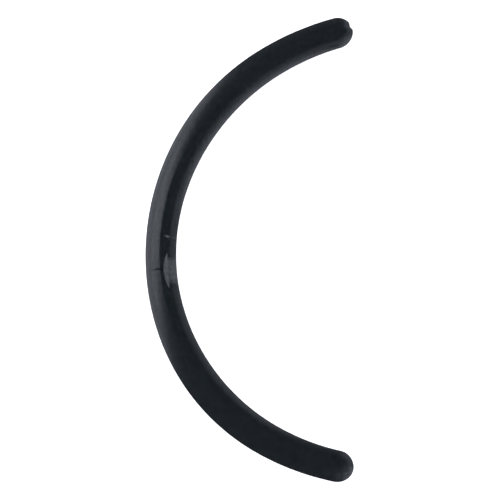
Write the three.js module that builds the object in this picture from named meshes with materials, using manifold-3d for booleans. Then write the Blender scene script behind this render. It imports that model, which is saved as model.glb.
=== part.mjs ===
// The refill pad of an eyelash curler: a one-piece C-shaped strip of moulded rubber.
// Millimetres, +Z up. The strip lies on its flat seat face, its ridge up, and it opens towards +X.

import * as THREE from 'three';
import { mergeVertices } from 'three/addons/utils/BufferGeometryUtils.js';
import Module from 'manifold-3d';

const wasm = await Module();
wasm.setup();

const radians = THREE.MathUtils.degToRad;

// Centre-line of the strip, seen from above: a main arc with a slightly straighter arc at each end.
const MAIN_RADIUS = 14.1;
const MAIN_HALF_SWEEP = radians(60);
const ARM_RADIUS = 16.5;
const HALF_LENGTH = 20.6;

// Cross-section: an outer and an inner flank, both convex, which meet in a soft ridge above rounded edges.
const WIDTH = 2.02;
const WIDTH_SWELL = 0.17;
const EDGE_RADIUS = 0.14;
const RIDGE_OFFSET = -0.18;
const RIDGE_SOFTNESS = 0.06;
const OUTER_RIDGE_SLOPE = radians(14.5);
const OUTER_EDGE_SLOPE = radians(56.5);
const INNER_RIDGE_SLOPE = radians(6);

// The rounded end caps.
const CAP_LENGTH = 1.06;
const CAP_FULLNESS = 2.3;

// The scar left where the moulding gate was trimmed off the inner flank.
const GATE_ANGLE = radians(-5.2);
const GATE_ARC_RADIUS = 2.6;
const GATE_REACH = 0.68;
const GATE_SLOPE = radians(40);
const GATE_DEPTH = 0.06;

// Fineness of the facets.
const STATIONS = 72;
const CAP_STATIONS = 8;
const FLANK_STEPS = 8;
const RIDGE_STEPS = 3;
const EDGE_STEPS = 3;
const GATE_ARC_STEPS = 120;

// Sizes that follow from those above.
const HALF_WIDTH = WIDTH / 2;
const OUTER_REACH = HALF_WIDTH - RIDGE_OFFSET;
const INNER_REACH = HALF_WIDTH + RIDGE_OFFSET;
const FLANK_HEIGHT = OUTER_REACH * Math.tan((OUTER_RIDGE_SLOPE + OUTER_EDGE_SLOPE) / 2);
const INNER_EDGE_SLOPE = 2 * Math.atan(FLANK_HEIGHT / INNER_REACH) - INNER_RIDGE_SLOPE;
const HEIGHT = EDGE_RADIUS + FLANK_HEIGHT;

// A point at the distance `along` from the middle of the centre-line, and its outward direction.
function centreLineAt(along) {
  const side = along < 0 ? -1 : 1;
  const mainLength = MAIN_RADIUS * MAIN_HALF_SWEEP;
  const mainAngle = Math.min(Math.abs(along), mainLength) / MAIN_RADIUS;
  const armAngle = Math.max(Math.abs(along) - mainLength, 0) / ARM_RADIUS;
  const angle = mainAngle + armAngle;
  const outward = new THREE.Vector2(-Math.cos(angle), side * Math.sin(angle));
  const point = outward.clone().multiplyScalar(armAngle > 0 ? ARM_RADIUS : MAIN_RADIUS);
  if (armAngle > 0) {
    const shift = ARM_RADIUS - MAIN_RADIUS;
    point.x += shift * Math.cos(MAIN_HALF_SWEEP);
    point.y -= side * shift * Math.sin(MAIN_HALF_SWEEP);
  }
  return { point, outward };
}

// A flank as an arc that leaves the ridge at one slope and reaches the strip's edge at another.
// The distance of a point from the ridge depends on the slope there.
function flank(reach, ridgeSlope, edgeSlope) {
  const radius = reach / (Math.sin(edgeSlope) - Math.sin(ridgeSlope));
  return {
    pointAt: (slope) => new THREE.Vector2(
      radius * (Math.sin(slope) - Math.sin(ridgeSlope)),
      HEIGHT - radius * (Math.cos(ridgeSlope) - Math.cos(slope)),
    ),
    slopeAt: (distance) => Math.asin(Math.sin(ridgeSlope) + distance / radius),
  };
}

const outerFlank = flank(OUTER_REACH, OUTER_RIDGE_SLOPE, OUTER_EDGE_SLOPE);
const innerFlank = flank(INNER_REACH, INNER_RIDGE_SLOPE, INNER_EDGE_SLOPE);

// One side of the section, from the seat face up to where the ridge begins, as if the ridge were at x = 0.
function sidePoints({ pointAt, slopeAt }, reach, edgeSlope) {
  const edge = new THREE.EllipseCurve(
    reach - EDGE_RADIUS, EDGE_RADIUS, EDGE_RADIUS, EDGE_RADIUS, -Math.PI / 2, 0, false,
  );
  const topSlope = slopeAt(RIDGE_SOFTNESS);
  const rise = Array.from({ length: FLANK_STEPS }, (_, i) => (
    pointAt(THREE.MathUtils.lerp(edgeSlope, topSlope, (i + 1) / FLANK_STEPS))
  ));
  return [...edge.getPoints(EDGE_STEPS), ...rise];
}

// The whole section, from the seat face round by the outer flank, as points across and up.
function sectionPoints() {
  const outer = sidePoints(outerFlank, OUTER_REACH, OUTER_EDGE_SLOPE);
  const inner = sidePoints(innerFlank, INNER_REACH, INNER_EDGE_SLOPE)
    .reverse()
    .map((p) => new THREE.Vector2(-p.x, p.y));
  const crest = new THREE.Vector2(0, HEIGHT);
  const ridge = new THREE.QuadraticBezierCurve(outer.at(-1), crest, inner[0]);
  const points = [...outer, ...ridge.getPoints(RIDGE_STEPS).slice(1, -1), ...inner];
  return points.map((p) => new THREE.Vector2(p.x + RIDGE_OFFSET, p.y));
}

// How much the strip widens towards the middle of each arm.
function widthShare(along) {
  return 1 + WIDTH_SWELL / WIDTH * Math.sin(Math.PI * along / HALF_LENGTH) ** 2;
}

// How much of the full width and height a rounded cap leaves.
function capShare(along) {
  const into = Math.max(Math.abs(along) - (HALF_LENGTH - CAP_LENGTH), 0) / CAP_LENGTH;
  return {
    width: Math.sqrt(1 - into ** 2),
    height: (1 - into ** CAP_FULLNESS) ** (1 / CAP_FULLNESS),
  };
}

// The distances of all sections, closer together where the caps curve.
function sectionDistances() {
  const body = HALF_LENGTH - CAP_LENGTH;
  const cap = Array.from({ length: CAP_STATIONS - 1 }, (_, i) => (
    body + CAP_LENGTH * Math.sin((i + 1) / CAP_STATIONS * Math.PI / 2)
  ));
  const between = Array.from({ length: STATIONS + 1 }, (_, i) => body * (2 * i / STATIONS - 1));
  return [...cap.map((distance) => -distance).reverse(), ...between, ...cap];
}

// The whole strip, lofted through its sections to a single point at each tip.
function stripGeometry() {
  const section = sectionPoints();
  const distances = sectionDistances();
  const positions = [];
  for (const along of distances) {
    const { point, outward } = centreLineAt(along);
    const share = capShare(along);
    for (const corner of section) {
      const across = corner.x * widthShare(along) * share.width;
      positions.push(point.x + outward.x * across, point.y + outward.y * across);
      positions.push(corner.y * share.height);
    }
  }

  const count = section.length;
  const indices = [];
  for (let ring = 0; ring < distances.length - 1; ring += 1) {
    for (let i = 0; i < count; i += 1) {
      const a = ring * count + i;
      const b = ring * count + (i + 1) % count;
      indices.push(a, b, a + count, b, b + count, a + count);
    }
  }

  for (const side of [-1, 1]) {
    const { point } = centreLineAt(side * HALF_LENGTH);
    const tip = positions.length / 3;
    positions.push(point.x, point.y, 0);
    const ring = side < 0 ? 0 : (distances.length - 1) * count;
    for (let i = 0; i < count; i += 1) {
      const a = ring + i;
      const b = ring + (i + 1) % count;
      indices.push(...(side < 0 ? [tip, b, a] : [tip, a, b]));
    }
  }

  const geometry = new THREE.BufferGeometry();
  geometry.setAttribute('position', new THREE.Float32BufferAttribute(positions, 3));
  geometry.setIndex(indices);
  return geometry;
}

// A closed geometry as a solid that can be cut.
function toSolid(geometry) {
  const bare = geometry.clone();
  bare.deleteAttribute('normal');
  bare.deleteAttribute('uv');
  const merged = mergeVertices(bare);
  return new wasm.Manifold(new wasm.Mesh({
    numProp: 3,
    vertProperties: Float32Array.from(merged.attributes.position.array),
    triVerts: Uint32Array.from(merged.index.array),
  }));
}

// A cut solid as a geometry again.
function toGeometry(solid) {
  const mesh = solid.getMesh();
  const geometry = new THREE.BufferGeometry();
  geometry.setAttribute('position', new THREE.BufferAttribute(mesh.vertProperties, 3));
  geometry.setIndex(new THREE.BufferAttribute(mesh.triVerts, 1));
  return geometry;
}

// What the gate scar takes out of the inner flank: the room above a sloping plane, inside an upright cylinder.
function gateCutter() {
  const cylinder = new THREE.CylinderGeometry(
    GATE_ARC_RADIUS, GATE_ARC_RADIUS, 4 * HEIGHT, GATE_ARC_STEPS,
  );
  cylinder.rotateX(Math.PI / 2);
  cylinder.translate(GATE_ARC_RADIUS - (MAIN_RADIUS - HALF_WIDTH) - GATE_REACH, 0, 0);

  const side = 4 * WIDTH;
  const block = new THREE.BoxGeometry(side, side, side);
  block.translate(0, 0, side / 2 - GATE_DEPTH);
  block.rotateY(GATE_SLOPE);
  const touch = innerFlank.pointAt(GATE_SLOPE);
  block.translate(touch.x - RIDGE_OFFSET - MAIN_RADIUS, 0, touch.y);

  const cutter = toSolid(cylinder).intersect(toSolid(block));
  return cutter.rotate([0, 0, -THREE.MathUtils.radToDeg(GATE_ANGLE)]);
}

// The finished strip, centred over the origin with its seat face at z = 0.
function finishedGeometry() {
  const geometry = toGeometry(toSolid(stripGeometry()).subtract(gateCutter()));
  geometry.computeBoundingBox();
  const centre = geometry.boundingBox.getCenter(new THREE.Vector3());
  geometry.translate(-centre.x, -centre.y, -geometry.boundingBox.min.z);
  geometry.computeVertexNormals();
  return geometry;
}

const rubber = new THREE.MeshStandardMaterial({ color: 0x1d2225, roughness: 0.3, metalness: 0 });

const strip = new THREE.Mesh(finishedGeometry(), rubber);
strip.name = 'pad_strip';

const group = new THREE.Group();
group.add(strip);

export default group;
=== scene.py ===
"""The refill pad of an eyelash curler, a curved strip of moulded black rubber, on a pale floor.

Metres, +Z up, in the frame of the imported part: the strip lies on z = 0 and opens towards +X.
"""

import math

import bpy
import numpy as np
from mathutils import Matrix, Vector


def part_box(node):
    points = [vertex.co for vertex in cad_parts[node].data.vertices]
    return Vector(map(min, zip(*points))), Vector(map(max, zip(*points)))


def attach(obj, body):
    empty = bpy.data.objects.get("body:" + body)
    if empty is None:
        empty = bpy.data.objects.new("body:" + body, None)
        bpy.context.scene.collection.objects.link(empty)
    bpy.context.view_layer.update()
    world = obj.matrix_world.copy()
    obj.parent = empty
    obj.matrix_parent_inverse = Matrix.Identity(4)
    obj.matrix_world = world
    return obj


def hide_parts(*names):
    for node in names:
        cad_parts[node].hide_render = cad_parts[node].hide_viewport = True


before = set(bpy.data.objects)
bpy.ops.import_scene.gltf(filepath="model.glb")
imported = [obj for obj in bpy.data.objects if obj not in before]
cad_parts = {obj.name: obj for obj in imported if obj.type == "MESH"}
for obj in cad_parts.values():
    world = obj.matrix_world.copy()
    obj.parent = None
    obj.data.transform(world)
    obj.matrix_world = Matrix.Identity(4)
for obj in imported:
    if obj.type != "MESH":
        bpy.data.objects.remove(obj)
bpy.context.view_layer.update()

MM = 0.001

# The strip's own dimensions, in millimetres and radians. "Along" runs on the centre-line from its middle,
# "across" runs over the strip's width, outwards positive.
MAIN_RADIUS = 14.1
MAIN_HALF_SWEEP = math.radians(60)
ARM_RADIUS = 16.5
HALF_LENGTH = 20.6
WIDTH = 2.02
WIDTH_SWELL = 0.17
EDGE_RADIUS = 0.14
RIDGE_OFFSET = -0.18
RIDGE_SOFTNESS = 0.06
OUTER_RIDGE_SLOPE = math.radians(14.5)
OUTER_EDGE_SLOPE = math.radians(56.5)
INNER_RIDGE_SLOPE = math.radians(6)
CAP_LENGTH = 1.06
CAP_FULLNESS = 2.3
GATE_ANGLE = math.radians(-5.2)
GATE_ARC_RADIUS = 2.6
GATE_REACH = 0.68
GATE_SLOPE = math.radians(40)
GATE_DEPTH = 0.06

# Small marks of moulding, in millimetres: where along and across the strip, how far they reach, how deep.
SCAR_MIDDLE = -1.24
SCAR_HALF_LENGTH = 1.22
SCAR_EDGE_SOFTNESS = 0.03
CRESCENT_WIDTH = 0.27
# The crescent rim's torn share is partly a painted highlight, pale colour where its slope catches the light.
CRESCENT_TORN_AND_HIGHLIGHT = 0.9
TORN_HALF_LENGTH = 0.72
PATCH_TORN = 0.75
PATCH_FLARE = 0.3
PATCH_SEAM_FROM_CRESCENT = 0.06
PATCH_SEAM_WIDTH = 0.06
PATCH_SEAM_SHARE = 0.3
LIP_WIDTH = 0.05
LIP_HEIGHT = 0.012
SINK_LINE_ALONG = -1.15
SINK_LINE_SLANT = 0.12
SINK_LINE_REACH = 1.05
SINK_LINE_WIDTH = 0.07
SINK_LINE_DEPTH = 0.014
FLASH_LINE_ALONG = 1.06
FLASH_LINE_WIDTH = 0.045
FLASH_LINE_HEIGHT = 0.013
FLECK_ACROSS = -0.50
FLECK_LENGTH = 0.10
FLECK_HEIGHT = 0.035
FLECK_SLANT = 0.25
# The torn shares of the fleck and the flash line are partly painted glints, pale colour where they catch the
# light.
FLECK_TORN_AND_GLINT = 1.6
FLASH_TORN_AND_GLINT = 0.12
PIT_ALONG = -20.33
PIT_ACROSS = 0.70
PIT_RADIUS = 0.15
PIT_DEPTH = 0.05
NOTCH_ALONG = 20.52
NOTCH_ACROSS = 0.25
NOTCH_TURN = math.radians(21)
NOTCH_RADIUS = 0.30
NOTCH_DEPTH = 0.11

HALF_WIDTH = WIDTH / 2
OUTER_REACH = HALF_WIDTH - RIDGE_OFFSET
INNER_REACH = HALF_WIDTH + RIDGE_OFFSET
FLANK_HEIGHT = OUTER_REACH * math.tan((OUTER_RIDGE_SLOPE + OUTER_EDGE_SLOPE) / 2)
INNER_EDGE_SLOPE = 2 * math.atan(FLANK_HEIGHT / INNER_REACH) - INNER_RIDGE_SLOPE
HEIGHT = EDGE_RADIUS + FLANK_HEIGHT
GATE_DIRECTION = np.array([-math.cos(GATE_ANGLE), math.sin(GATE_ANGLE), 0.0])

# Colours of the rubber, and of the crumbly surface where it is torn, which also stands as painted highlight
# and glints on the scar's crescent, the fleck and the flash line.
RUBBER_DARK = (0.0004, 0.0020, 0.0027)
RUBBER_LIGHT = (0.0032, 0.0064, 0.0074)
TORN_AND_HIGHLIGHT_DARK = (0.018, 0.021, 0.024)
TORN_AND_HIGHLIGHT_LIGHT = (0.060, 0.065, 0.070)

# Light: a faintly blue white, and the brightness of the room round the lights, where 1 shows as white.
LIGHT_COLOUR = (0.937, 0.970, 1.093)
ROOM_GLOW = 0.154

# The camera: its lean from overhead, the side it leans to, its roll, its lens in millimetres, how far it
# stands from the point it looks at, where that point lies on the X axis, and its sideways and upwards shift.
CAMERA_TILT = math.radians(15.306)
CAMERA_HEADING = math.radians(-40.358)
CAMERA_ROLL = math.radians(0.078)
CAMERA_LENS = 400.78
CAMERA_DISTANCE = 355 * MM
CAMERA_AIM = 1.346 * MM
CAMERA_LEFT = 1.2691 * MM
CAMERA_RAISED = 0.0587 * MM

# The floor: how far it lies flat, the radius of its sweep up all round, and its wall's height, in metres.
FLOOR_RADIUS = 0.45
FLOOR_SWEEP = 0.3
WALL_HEIGHT = 1.2

# Fineness of the mesh, in millimetres along the strip and in steps round the section.
COARSE_STEP = 0.085
FINE_STEP = 0.03
FINE_FROM, FINE_TO = -3.3, 1.5
CAP_STEPS = 36
FLANK_STEPS = 34
RIDGE_STEPS = 4
EDGE_STEPS = 5
SEAT_STEPS = 8


def flank_points(reach, ridge_slope, edge_slope):
    """One flank from edge to ridge, as distance from the ridge and height."""
    radius = reach / (math.sin(edge_slope) - math.sin(ridge_slope))
    top_slope = math.asin(math.sin(ridge_slope) + RIDGE_SOFTNESS / radius)
    slopes = np.linspace(edge_slope, top_slope, FLANK_STEPS + 1)
    distance = radius * (np.sin(slopes) - math.sin(ridge_slope))
    height = HEIGHT - radius * (math.cos(ridge_slope) - np.cos(slopes))
    return np.stack([distance, height], axis=1)


def side_points(reach, ridge_slope, edge_slope):
    """One side of the section from the seat face up to where the soft ridge begins."""
    turn = np.linspace(-math.pi / 2, 0, EDGE_STEPS + 1)
    edge = np.stack([reach - EDGE_RADIUS + EDGE_RADIUS * np.cos(turn),
                     EDGE_RADIUS + EDGE_RADIUS * np.sin(turn)], axis=1)
    return np.concatenate([edge, flank_points(reach, ridge_slope, edge_slope)[1:]])


def section_points():
    """The closed section as points across and up, from the seat face's outer end round over the ridge."""
    outer = side_points(OUTER_REACH, OUTER_RIDGE_SLOPE, OUTER_EDGE_SLOPE)
    inner = side_points(INNER_REACH, INNER_RIDGE_SLOPE, INNER_EDGE_SLOPE)[::-1] * [-1, 1]
    crest = np.array([0, HEIGHT])
    t = np.linspace(0, 1, RIDGE_STEPS + 1)[1:-1, None]
    ridge = (1 - t) ** 2 * outer[-1] + 2 * t * (1 - t) * crest + t ** 2 * inner[0]
    seat_share = np.linspace(0, 1, SEAT_STEPS + 1)[1:-1, None]
    seat = inner[-1] + seat_share * (outer[0] - inner[-1])
    return np.concatenate([outer, ridge, inner, seat]) + [RIDGE_OFFSET, 0]


def stations():
    """Distances of the sections along the strip: close at the caps and round the gate scar."""
    body = HALF_LENGTH - CAP_LENGTH
    spans = [(-body, FINE_FROM, COARSE_STEP), (FINE_FROM, FINE_TO, FINE_STEP), (FINE_TO, body, COARSE_STEP)]
    between = [np.linspace(a, b, round((b - a) / step) + 1)[:-1] for a, b, step in spans]
    turn = np.arange(1, CAP_STEPS) / CAP_STEPS * math.pi / 2
    cap = body + CAP_LENGTH * np.sin(turn)
    return np.concatenate([-cap[::-1], *between, [body], cap])


def centre_line(along):
    """Points of the centre-line and their outward directions, in the plane of the C."""
    side = np.where(along < 0, -1.0, 1.0)
    main = np.minimum(np.abs(along), MAIN_RADIUS * MAIN_HALF_SWEEP) / MAIN_RADIUS
    arm = np.maximum(np.abs(along) - MAIN_RADIUS * MAIN_HALF_SWEEP, 0) / ARM_RADIUS
    angle = main + arm
    outward = np.stack([-np.cos(angle), side * np.sin(angle)], axis=-1)
    point = outward * np.where(arm > 0, ARM_RADIUS, MAIN_RADIUS)[..., None]
    shift = np.where(arm > 0, ARM_RADIUS - MAIN_RADIUS, 0.0)
    point[..., 0] += shift * math.cos(MAIN_HALF_SWEEP)
    point[..., 1] -= side * shift * math.sin(MAIN_HALF_SWEEP)
    return point, outward


def cap_share(along):
    """How far into the rounded end a place on the centre-line is: 0 at its start, 1 at the tip."""
    return np.maximum(np.abs(along) - (HALF_LENGTH - CAP_LENGTH), 0) / CAP_LENGTH


def width_share(along):
    """The section's width there, as a share of the narrowest width of the body."""
    swell = WIDTH_SWELL / WIDTH * np.sin(math.pi * along / HALF_LENGTH) ** 2
    return (1 + swell) * np.sqrt(1 - cap_share(along) ** 2)


def height_share(along):
    """The section's height there, as a share of the height of the body."""
    return (1 - cap_share(along) ** CAP_FULLNESS) ** (1 / CAP_FULLNESS)


def strip_grid():
    """The strip's points as a grid of sections, with each one's distance along and place across."""
    along = stations()
    section = section_points()
    point, outward = centre_line(along)
    across = section[None, :, 0] * width_share(along)[:, None]
    flat = point[:, None, :] + outward[:, None, :] * across[..., None]
    height = section[None, :, 1] * height_share(along)[:, None]
    return np.concatenate([flat, height[..., None]], axis=-1), along, section[:, 0]


def grid_normals(grid):
    """Outward normals of the grid's points, from their neighbours."""
    lengthwise = np.gradient(grid, axis=0)
    round_section = np.roll(grid, -1, axis=1) - np.roll(grid, 1, axis=1)
    normal = np.cross(round_section, lengthwise)
    return normal / np.maximum(np.linalg.norm(normal, axis=-1, keepdims=True), 1e-12)


def smooth_step(low, high, value):
    """0 below low, 1 above high, with a smooth turn between."""
    t = np.clip((value - low) / (high - low), 0, 1)
    return t * t * (3 - 2 * t)


def bell(value, width):
    """A smooth bump, 1 at value 0 and fading out at a couple of widths."""
    return np.exp(-(value / width) ** 2)


def gate_distance(grid):
    """How far each point is inside the gate scar's upright cylinder."""
    axis = GATE_DIRECTION * (MAIN_RADIUS - HALF_WIDTH + GATE_REACH - GATE_ARC_RADIUS)
    return GATE_ARC_RADIUS - np.linalg.norm((grid - axis)[..., :2], axis=-1)


def scar_fade(along, half_length, softness=0.15):
    """1 in the middle of the gate scar's length, fading to 0 past its ends."""
    return 1 - smooth_step(half_length - softness, half_length + softness, np.abs(along - SCAR_MIDDLE))


def cut_gate(grid, along):
    """Trims the inner flank to the gate scar's sloping plane, inside its upright cylinder."""
    up = np.array([0.0, 0.0, 1.0])
    radius = INNER_REACH / (math.sin(INNER_EDGE_SLOPE) - math.sin(INNER_RIDGE_SLOPE))
    inward = radius * (math.sin(GATE_SLOPE) - math.sin(INNER_RIDGE_SLOPE)) - RIDGE_OFFSET
    height = HEIGHT - radius * (math.cos(INNER_RIDGE_SLOPE) - math.cos(GATE_SLOPE))
    touch = GATE_DIRECTION * (MAIN_RADIUS - inward) + up * height
    normal = -GATE_DIRECTION * math.sin(GATE_SLOPE) + up * math.cos(GATE_SLOPE)
    above = (grid - touch) @ normal + GATE_DEPTH
    share = smooth_step(-0.02, 0.06, gate_distance(grid)) * scar_fade(along, TORN_HALF_LENGTH, softness=0.35)
    return grid - (np.maximum(above, 0) * share)[..., None] * normal


def torn_and_highlight_share(grid, along, across):
    """How torn the rubber is, in the scar's crescent rim and the patch beside it, the fleck and the flash. On
    the crescent the pale colour is partly a painted highlight, on the fleck and the flash partly a painted
    glint.
    """
    inside = gate_distance(grid)
    taper = np.maximum(1 - ((along - SCAR_MIDDLE) / SCAR_HALF_LENGTH) ** 2, 0)
    soft = SCAR_EDGE_SOFTNESS
    crescent = smooth_step(-soft, soft, inside) * smooth_step(-soft, soft, CRESCENT_WIDTH * taper - inside)
    crescent = CRESCENT_TORN_AND_HIGHLIGHT * crescent * smooth_step(0, 0.1, taper)
    patch_half_length = TORN_HALF_LENGTH + PATCH_FLARE * (inside - 0.3)
    patch = PATCH_TORN * smooth_step(0.0, 0.15, inside) * scar_fade(along, patch_half_length, softness=0.3)
    seam = bell(inside - CRESCENT_WIDTH - PATCH_SEAM_FROM_CRESCENT, PATCH_SEAM_WIDTH)
    patch = patch * (1 - PATCH_SEAM_SHARE * seam)
    # The fleck and the flash line are paled partly as painted glints.
    fleck_along = along - FLASH_LINE_ALONG - FLECK_SLANT * (across - FLECK_ACROSS)
    fleck = FLECK_TORN_AND_GLINT * bell(fleck_along, 0.055) * bell(across - FLECK_ACROSS, FLECK_LENGTH)
    flash = FLASH_TORN_AND_GLINT * bell(along - FLASH_LINE_ALONG, 0.06) * smooth_step(0.35, 0.5, -across)
    on_inner = smooth_step(0.0, 0.05, RIDGE_OFFSET - across) * (grid[..., 2] > EDGE_RADIUS)
    return np.clip(np.maximum(patch, crescent) + fleck + flash, 0, 1) * on_inner


def sink_line(along, across):
    """How deep in the sink line each point is: 1 at the ridge, fading along its way down the outer flank."""
    from_ridge = across - RIDGE_OFFSET
    share = np.where(from_ridge > 0, np.clip(1 - from_ridge / SINK_LINE_REACH, 0, 1), bell(from_ridge, 0.08))
    middle = SINK_LINE_ALONG + SINK_LINE_SLANT * from_ridge
    return share * bell(along - middle, SINK_LINE_WIDTH * (0.6 + 0.4 * share))


def small_marks(grid, along, across):
    """Height of the moulding marks above the strip's surface."""
    inside = gate_distance(grid)
    lip = LIP_HEIGHT * bell(inside, LIP_WIDTH) * scar_fade(along, SCAR_HALF_LENGTH) * (across < 0)
    sink = SINK_LINE_DEPTH * sink_line(along, across)
    on_flank = smooth_step(0.25, 0.4, -across)
    flash = FLASH_LINE_HEIGHT * bell(along - FLASH_LINE_ALONG, FLASH_LINE_WIDTH) * on_flank
    fleck = FLECK_HEIGHT * bell(along - FLASH_LINE_ALONG, 0.07) * bell(across - FLECK_ACROSS, FLECK_LENGTH)
    on_top = grid[..., 2] > EDGE_RADIUS * height_share(along)
    height = (lip - sink + flash + fleck) * on_top
    point, outward = centre_line(np.array(PIT_ALONG))
    middle = point + outward * PIT_ACROSS * width_share(np.array(PIT_ALONG))
    away = np.linalg.norm(grid[..., :2] - middle, axis=-1)
    return height - PIT_DEPTH * smooth_step(0, 1, 1 - away / PIT_RADIUS) * on_top


def cut_notch(grid):
    """Pushes a small notch into the upper tip's end, level with the seat face."""
    point, outward = centre_line(np.array(NOTCH_ALONG))
    onward = np.array([outward[1], -outward[0]])
    facing = onward * math.cos(NOTCH_TURN) + outward * math.sin(NOTCH_TURN)
    away = np.linalg.norm(grid[..., :2] - point - outward * NOTCH_ACROSS, axis=-1)
    push = NOTCH_DEPTH * smooth_step(0, 1, 1 - away / NOTCH_RADIUS)
    return grid - push[..., None] * np.append(facing, 0.0)


def build_strip():
    """The strip as a mesh object."""
    grid, along, across = strip_grid()
    along, across = along[:, None], across[None, :]
    grid = cut_gate(grid, along)
    torn_and_highlight = torn_and_highlight_share(grid, along, across)
    # The sink line's share also turns the reflection down there, a painted dark line for its shade.
    sink_shade = sink_line(along, across)
    grid = cut_notch(grid + grid_normals(grid) * small_marks(grid, along, across)[..., None])
    rings, count = grid.shape[:2]
    tips = np.array([[*centre_line(np.array(side * HALF_LENGTH))[0], 0.0] for side in (-1, 1)])
    points = np.concatenate([grid.reshape(-1, 3), tips])
    low, high = points.min(axis=0), points.max(axis=0)
    box_low, box_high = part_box("pad_strip")
    middle = (np.array(box_low) + np.array(box_high)) / 2 / MM
    points[:, :2] += middle[:2] - (low + high)[:2] / 2

    faces = []
    for ring in range(rings - 1):
        for i in range(count):
            a, b = ring * count + i, ring * count + (i + 1) % count
            faces.append((a, b, b + count, a + count))
    last = (rings - 1) * count
    for i in range(count):
        faces.append((rings * count, (i + 1) % count, i))
        faces.append((rings * count + 1, last + i, last + (i + 1) % count))

    mesh = bpy.data.meshes.new("rubber_strip")
    mesh.from_pydata((points * MM).tolist(), [], faces)
    mesh.polygons.foreach_set("use_smooth", [True] * len(mesh.polygons))
    for name, share in (("torn_and_highlight", torn_and_highlight), ("sink_shade", sink_shade)):
        mesh.attributes.new(name, "FLOAT", "POINT").data.foreach_set("value", np.append(share, [0, 0]))
    mesh.update()
    mesh.set_sharp_from_angle(angle=math.radians(40))
    piece = bpy.data.objects.new("rubber_strip", mesh)
    bpy.context.scene.collection.objects.link(piece)
    return piece


def node(tree, kind, **settings):
    """A new node, with its inputs or properties set by name."""
    made = tree.nodes.new(kind)
    for name, value in settings.items():
        if hasattr(made, name):
            setattr(made, name, value)
        else:
            made.inputs[name.replace("_", " ")].default_value = value
    return made


def noise_texture(tree, coordinates, size, detail=3.0, roughness=0.55):
    """Noise with marks of about the given size in millimetres."""
    made = node(tree, "ShaderNodeTexNoise", Scale=1 / (size * MM), Detail=detail, Roughness=roughness)
    tree.links.new(coordinates.outputs["Object"], made.inputs["Vector"])
    return made


def ramp(tree, source, from_range, to_range):
    """Maps a value from one range to another."""
    made = node(tree, "ShaderNodeMapRange")
    made.inputs["From Min"].default_value, made.inputs["From Max"].default_value = from_range
    made.inputs["To Min"].default_value, made.inputs["To Max"].default_value = to_range
    tree.links.new(source, made.inputs["Value"])
    return made.outputs["Result"]


def colour_mix(tree, factor, first, second):
    """Mixes two colours, each one a colour or a socket."""
    made = node(tree, "ShaderNodeMix", data_type="RGBA")
    tree.links.new(factor, made.inputs["Factor"])
    # The Mix node keeps its colour inputs at places 6 and 7, after those for numbers and vectors.
    for socket, colour in ((made.inputs[6], first), (made.inputs[7], second)):
        if isinstance(colour, tuple):
            socket.default_value = (*colour, 1)
        else:
            tree.links.new(colour, socket)
    return made.outputs[2]


def value_mix(tree, factor, first, second):
    """Mixes two values, both of them sockets."""
    made = node(tree, "ShaderNodeMix", data_type="FLOAT")
    tree.links.new(factor, made.inputs["Factor"])
    tree.links.new(first, made.inputs[2])
    tree.links.new(second, made.inputs[3])
    return made.outputs[0]


def rubber_material():
    """Semi-matte black moulded rubber, mottled and finely grained, torn and paler at the gate scar, with
    painted highlight and glints in the pale colour of the scar's crescent, fleck and flash line, and painted
    shade where its reflection is turned down along the sink line.
    """
    material = bpy.data.materials.new("black_rubber")
    material.use_nodes = True
    tree = material.node_tree
    shader = tree.nodes["Principled BSDF"]
    shader.inputs["IOR"].default_value = 1.54
    coordinates = node(tree, "ShaderNodeTexCoord")
    torn_and_highlight = node(tree, "ShaderNodeAttribute", attribute_name="torn_and_highlight").outputs["Fac"]
    sink_shade = node(tree, "ShaderNodeAttribute", attribute_name="sink_shade").outputs["Fac"]
    mottle = noise_texture(tree, coordinates, 0.32, detail=2.0, roughness=0.62)
    grain = noise_texture(tree, coordinates, 0.16, detail=2.0)
    crumb = noise_texture(tree, coordinates, 0.22, detail=4.0, roughness=0.7)

    tone = ramp(tree, mottle.outputs["Fac"], (0.22, 0.78), (0.0, 1.0))
    rubber = colour_mix(tree, tone, RUBBER_DARK, RUBBER_LIGHT)
    # The pale torn colour is partly real torn rubber and partly painted highlight and glints.
    crumb_tone = ramp(tree, crumb.outputs["Fac"], (0.3, 0.7), (0.0, 1.0))
    torn_and_highlight_rubber = colour_mix(tree, crumb_tone, TORN_AND_HIGHLIGHT_DARK, TORN_AND_HIGHLIGHT_LIGHT)
    tree.links.new(colour_mix(tree, torn_and_highlight, rubber, torn_and_highlight_rubber), shader.inputs["Base Color"])

    # Along the sink line the reflection is turned down nearly to nothing: painted shade of the groove, over
    # its real shallow dent.
    sheen = node(tree, "ShaderNodeMath", operation="MULTIPLY")
    tree.links.new(ramp(tree, grain.outputs["Fac"], (0.2, 0.8), (0.34, 0.66)), sheen.inputs[0])
    tree.links.new(ramp(tree, sink_shade, (0.0, 1.0), (1.0, 0.04)), sheen.inputs[1])
    tree.links.new(sheen.outputs[0], shader.inputs["Specular IOR Level"])

    sheen_spots = ramp(tree, mottle.outputs["Fac"], (0.2, 0.8), (0.247, 0.265))
    matte = ramp(tree, crumb.outputs["Fac"], (0.3, 0.7), (0.6, 0.75))
    tree.links.new(value_mix(tree, torn_and_highlight, sheen_spots, matte), shader.inputs["Roughness"])

    fine = node(tree, "ShaderNodeBump", Strength=1.0, Distance=0.003 * MM)
    tree.links.new(grain.outputs["Fac"], fine.inputs["Height"])
    waves = node(tree, "ShaderNodeBump", Strength=1.0, Distance=0.009 * MM)
    tree.links.new(mottle.outputs["Fac"], waves.inputs["Height"])
    tree.links.new(fine.outputs["Normal"], waves.inputs["Normal"])
    tree.links.new(waves.outputs["Normal"], shader.inputs["Normal"])
    return material


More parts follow.
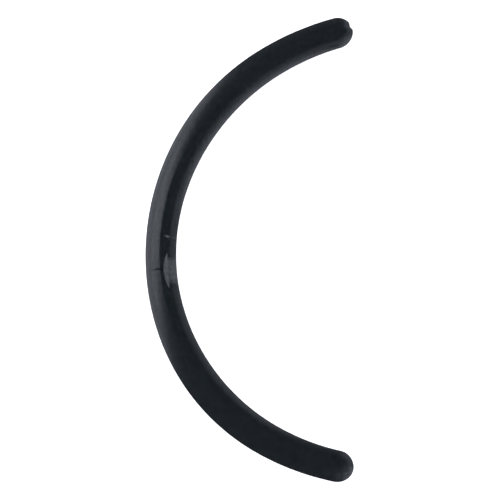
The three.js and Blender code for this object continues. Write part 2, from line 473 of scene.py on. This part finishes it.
def soft_light(name, azimuth, elevation, half_width, half_height, radiance, distance=0.25):
    """A soft rectangular light facing the strip, its place and half sizes given as angles seen from there.

    Its radiance is its brightness where it reflects as in a mirror, where 1 shows as white.
    """
    azimuth, elevation = math.radians(azimuth), math.radians(elevation)
    light = bpy.data.lights.new(name, "AREA")
    light.shape = "RECTANGLE"
    light.size = 2 * distance * math.tan(math.radians(half_width))
    light.size_y = 2 * distance * math.tan(math.radians(half_height))
    light.energy = radiance * math.pi * light.size * light.size_y
    light.color = LIGHT_COLOUR
    lamp = bpy.data.objects.new(name, light)
    direction = Vector((math.cos(elevation) * math.cos(azimuth),
                        math.cos(elevation) * math.sin(azimuth),
                        math.sin(elevation)))
    right = Vector((-math.sin(azimuth), math.cos(azimuth), 0))
    rotation = Matrix((right, direction.cross(right), direction)).transposed().to_4x4()
    lamp.matrix_world = Matrix.Translation(direction * distance) @ rotation
    lamp.visible_camera = False
    bpy.context.scene.collection.objects.link(lamp)
    return lamp


def light_studio():
    """A main panel to the left of the strip and fills round it.

    The lamps below the floor stand in for light that a pale table throws back up. The floor casts no shadow
    and shows in no reflection, so they reach the strip through it.
    """
    soft_light("main_panel", 164, 17.5, 19.5, 10, 1.37)
    soft_light("main_panel_low", 163, -11, 29.5, 22, 0.75)
    soft_light("main_panel_high", 163, 34, 9.5, 7.2, 1.73)
    soft_light("right_fill", 304, 14, 54, 20, 0.35)
    soft_light("right_fill_low", 315, -30, 32, 27.5, 0.77)
    soft_light("back_fill_low", 32, -14, 42, 29, 0.30)
    soft_light("table_glow", 0, -90, 50, 50, 0.08)
    # The overhead light whitens the floor and lights the torn rubber, and shows in no reflection.
    overhead = soft_light("overhead", 0, 90, 40, 40, 1.35, distance=0.6)
    overhead.visible_glossy = False


def build_floor():
    """A pale floor that sweeps up all round. It glows a little by itself, which helps to keep it white."""
    steps, spokes = 20, 96
    profile = [(r, 0.0) for r in (0.0, *np.linspace(0.05, FLOOR_RADIUS, steps))]
    for turn in np.arange(1, steps + 1) / steps * math.pi / 2:
        profile.append((FLOOR_RADIUS + FLOOR_SWEEP * math.sin(turn), FLOOR_SWEEP * (1 - math.cos(turn))))
    profile.append((FLOOR_RADIUS + FLOOR_SWEEP, WALL_HEIGHT))
    vertices = [(0.0, 0.0, 0.0)]
    for r, z in profile[1:]:
        for k in range(spokes):
            angle = 2 * math.pi * k / spokes
            vertices.append((r * math.cos(angle), r * math.sin(angle), z))
    faces = [(0, 1 + k, 1 + (k + 1) % spokes) for k in range(spokes)]
    for ring in range(len(profile) - 2):
        for k in range(spokes):
            a = 1 + ring * spokes + k
            b = 1 + ring * spokes + (k + 1) % spokes
            faces.append((a, a + spokes, b + spokes, b))
    mesh = bpy.data.meshes.new("floor")
    mesh.from_pydata(vertices, [], faces)
    mesh.polygons.foreach_set("use_smooth", [True] * len(mesh.polygons))
    floor = bpy.data.objects.new("floor", mesh)
    bpy.context.scene.collection.objects.link(floor)
    material = bpy.data.materials.new("pale_floor")
    material.use_nodes = True
    shader = material.node_tree.nodes["Principled BSDF"]
    shader.inputs["Base Color"].default_value = (0.8, 0.8, 0.8, 1)
    shader.inputs["Roughness"].default_value = 1.0
    shader.inputs["Specular IOR Level"].default_value = 0.0
    shader.inputs["Emission Color"].default_value = (1, 1, 1, 1)
    shader.inputs["Emission Strength"].default_value = 0.5
    mesh.materials.append(material)
    floor.visible_glossy = False
    floor.visible_shadow = False


def set_room():
    """The even glow of the room round the lights, and plain colours in the render."""
    world = bpy.data.worlds.new("room")
    bpy.context.scene.world = world
    world.use_nodes = True
    glow = (*(ROOM_GLOW * channel for channel in LIGHT_COLOUR), 1)
    world.node_tree.nodes["Background"].inputs["Color"].default_value = glow
    view = bpy.context.scene.view_settings
    view.view_transform = "Standard"
    view.look = "None"
    view.exposure = 0.0
    view.gamma = 1.0


def set_camera():
    """The camera: nearly overhead, leaning towards the open side and the lower arm, with a long lens."""
    back = Vector((math.sin(CAMERA_TILT) * math.cos(CAMERA_HEADING),
                   math.sin(CAMERA_TILT) * math.sin(CAMERA_HEADING),
                   math.cos(CAMERA_TILT)))
    up = Vector((-math.sin(CAMERA_ROLL), math.cos(CAMERA_ROLL), 0))
    right = up.cross(back).normalized()
    up = back.cross(right)
    lens = bpy.data.cameras.new("camera")
    lens.sensor_width = 36.0
    lens.lens = CAMERA_LENS
    lens.clip_start = 0.01
    camera = bpy.data.objects.new("camera", lens)
    place = Vector((CAMERA_AIM, 0, 0)) + back * CAMERA_DISTANCE
    place += up * CAMERA_RAISED - right * CAMERA_LEFT
    camera.matrix_world = Matrix.Translation(place) @ Matrix((right, up, back)).transposed().to_4x4()
    bpy.context.scene.collection.objects.link(camera)
    bpy.context.scene.camera = camera


strip = build_strip()
strip.data.materials.append(rubber_material())
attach(strip, "root")
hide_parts("pad_strip")

build_floor()
light_studio()
set_room()
set_camera()
